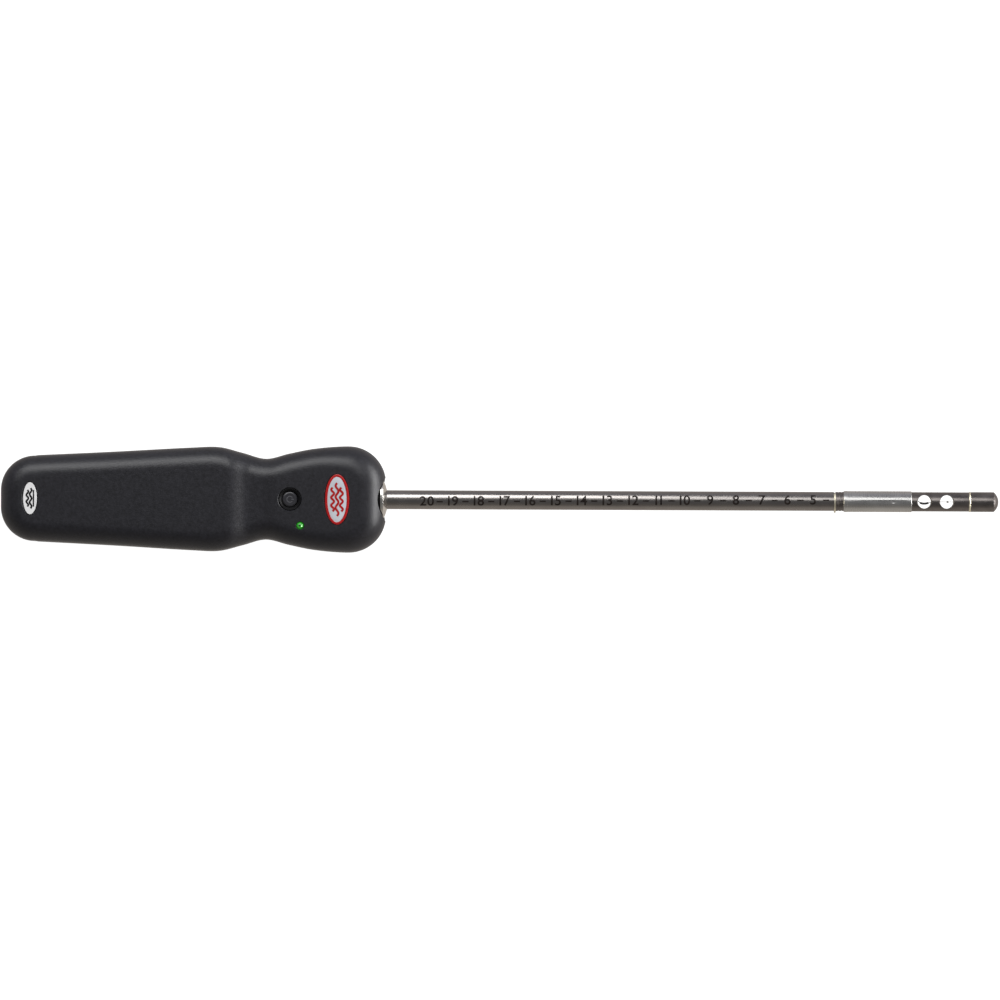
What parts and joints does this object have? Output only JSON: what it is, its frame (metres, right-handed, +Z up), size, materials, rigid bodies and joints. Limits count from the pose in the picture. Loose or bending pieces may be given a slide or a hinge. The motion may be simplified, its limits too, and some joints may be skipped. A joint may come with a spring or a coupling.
{
  "type": "air velocity probe",
  "caption": "Handheld insertion probe: a waisted battery handle with a button, a graduated steel shaft and a windowed sensor head under a sliding guard sleeve.",
  "frame": {"origin": "centre of the bounding box in X and Y, at the resting face of the handle", "axes": "+X along the shaft from the handle to the tip, +Z up out of the button face, +Y to the left of the shaft seen from above with the tip ahead"},
  "size_m": [0.3874, 0.0412, 0.026],
  "materials": {
    "housing_plastic": "fine-textured charcoal moulding",
    "button_plastic": "satin moulding with a pale symbol",
    "bezel_plastic": "smooth dished ring",
    "led_green": "translucent green lens",
    "tinned_metal": "bright nickel or tin plating",
    "circuit_board": "green solder mask",
    "chip_black": "moulded package",
    "shield_metal": "tinned shield on a small board",
    "connector_ivory": "plain moulding",
    "cradle_plastic": "plain moulding",
    "cell_wrap": "printed foil wrap, density stands near a dry cell's",
    "wire_red": "extruded insulation",
    "wire_black": "extruded insulation",
    "screw_steel": "zinc plated",
    "collar_steel": "polished stainless",
    "black_rubber": "smooth",
    "lock_ring_metal": "turned",
    "shaft_steel": "polished stainless tube with printed depth marks",
    "cable_sheath": "extruded sheath",
    "sensor_steel": "dark stainless",
    "carrier_plastic": "machined high-temperature plastic",
    "element_glass": "coated sensing bead and leads",
    "sleeve_steel": "bright drawn stainless",
    "ring_metal": "bright ring",
    "badge_red": "printed dome badge with a pale field",
    "label_white": "printed film"
  },
  "bodies": {
    "housing": {"upper_shell": "housing_plastic", "lower_shell": "housing_plastic", "housing_screws": "screw_steel", "button_bezel": "bezel_plastic", "status_led": "led_green", "led_leads": "tinned_metal", "main_board": "circuit_board", "board_screws": "screw_steel", "tact_switch": "chip_black", "radio_module": "shield_metal", "microcontroller": "chip_black", "signal_chip": "chip_black", "power_connector": "connector_ivory", "sensor_connector": "connector_ivory", "battery_cradle": "cradle_plastic", "cradle_screws": "screw_steel", "battery_cell_left": "cell_wrap", "battery_cell_right": "cell_wrap", "spring_contact_left": "tinned_metal", "spring_contact_right": "tinned_metal", "series_link_plate": "tinned_metal", "positive_plate": "tinned_metal", "negative_plate": "tinned_metal", "red_lead": "wire_red", "black_lead": "wire_black", "nose_collar": "collar_steel", "collar_o_ring": "black_rubber", "shaft_lock_ring": "lock_ring_metal", "lock_ring_screw": "screw_steel", "probe_shaft": "shaft_steel", "sensor_cable": "cable_sheath", "shaft_clip": "ring_metal", "sensor_head": "sensor_steel", "sensor_carrier": "carrier_plastic", "velocity_sensor": "element_glass", "temperature_sensor": "tinned_metal", "sleeve_friction_ring": "black_rubber", "tip_ring": "ring_metal", "tip_cap": "sensor_steel", "front_badge": "badge_red", "tail_label": "label_white"},
    "power_button": {"power_button": "button_plastic", "switch_plunger": "connector_ivory"},
    "guard_sleeve": {"guard_sleeve": "sleeve_steel"},
    "battery_door": {"battery_door": "housing_plastic", "door_screws": "screw_steel"}
  },
  "joints": [
    {"name": "button_press", "type": "slide", "parent": "housing", "child": "power_button", "axis": [0, 0, -1], "range_m": [0, 0.0005], "stiffness_N_per_m": 800, "springref_m": -0.0005},
    {"name": "sleeve_slide", "type": "slide", "parent": "housing", "child": "guard_sleeve", "axis": [1, 0, 0], "range_m": [-0.003, 0.022]},
    {"name": "door_lift", "type": "slide", "parent": "housing", "child": "battery_door", "axis": [0, 0, -1], "range_m": [0, 0.028]}
  ]
}
